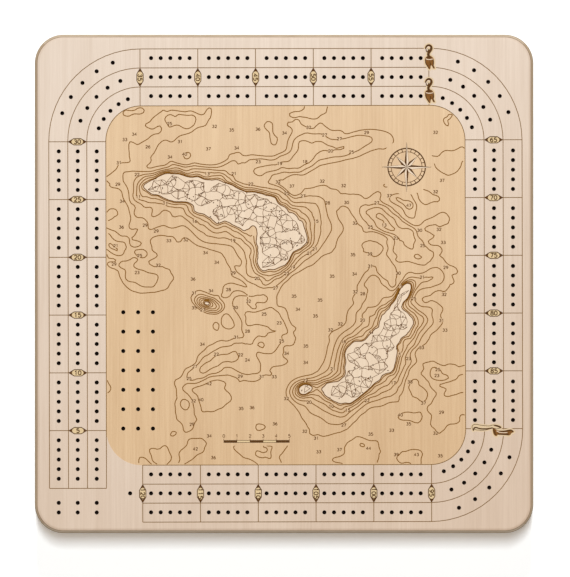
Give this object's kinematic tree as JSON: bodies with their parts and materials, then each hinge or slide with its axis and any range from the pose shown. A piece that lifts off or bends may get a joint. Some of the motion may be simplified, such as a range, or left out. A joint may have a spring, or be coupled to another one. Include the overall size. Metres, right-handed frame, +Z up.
{
  "type": "cribbage box with drawer",
  "caption": "Square wooden cribbage board built as a flat box, with a drilled and engraved three-lane track and a shallow drawer for cards and pegs.",
  "frame": {"origin": "centre of the footprint, on the surface that the feet stand on", "axes": "+Z up, +Y to the far edge of the board as it is read, the drawer opens towards -Y"},
  "size_m": [0.3048, 0.3048, 0.0381],
  "materials": {
    "engraved_birch": "satin birch ply, laser engraved",
    "birch_ply": "satin birch ply with visible ply edges",
    "inner_birch": "sanded birch ply, waxed where it slides",
    "foot_rubber": "matte",
    "magnet": "nickel plated",
    "peg_brass": "polished",
    "peg_steel": "polished",
    "peg_black": "black oxide"
  },
  "bodies": {
    "case": {"top_panel": "engraved_birch", "bottom_panel": "birch_ply", "left_wall": "birch_ply", "right_wall": "birch_ply", "back_wall": "birch_ply", "front_wall_left": "birch_ply", "front_wall_right": "birch_ply", "guide_left": "inner_birch", "guide_right": "inner_birch", "stop_rail": "inner_birch", "centre_rib": "inner_birch", "stop_block_left": "inner_birch", "stop_block_right": "inner_birch", "case_magnet": "magnet", "foot_front_left": "foot_rubber", "foot_front_right": "foot_rubber", "foot_back_left": "foot_rubber", "foot_back_right": "foot_rubber"},
    "drawer": {"drawer_front": "birch_ply", "drawer_side_left": "birch_ply", "drawer_side_right": "birch_ply", "drawer_back": "birch_ply", "drawer_floor": "birch_ply", "well_divider": "birch_ply", "peg_divider_front": "birch_ply", "peg_divider_rear": "birch_ply", "drawer_magnet": "magnet", "peg_brass_1": "peg_brass", "peg_brass_2": "peg_brass", "peg_brass_3": "peg_brass", "peg_steel_1": "peg_steel", "peg_steel_2": "peg_steel", "peg_steel_3": "peg_steel", "peg_black_1": "peg_black", "peg_black_2": "peg_black", "peg_black_3": "peg_black"}
  },
  "joints": [
    {"name": "drawer_slide", "type": "slide", "parent": "case", "child": "drawer", "axis": [0, -1, 0], "range_m": [0, 0.0787]}
  ]
}
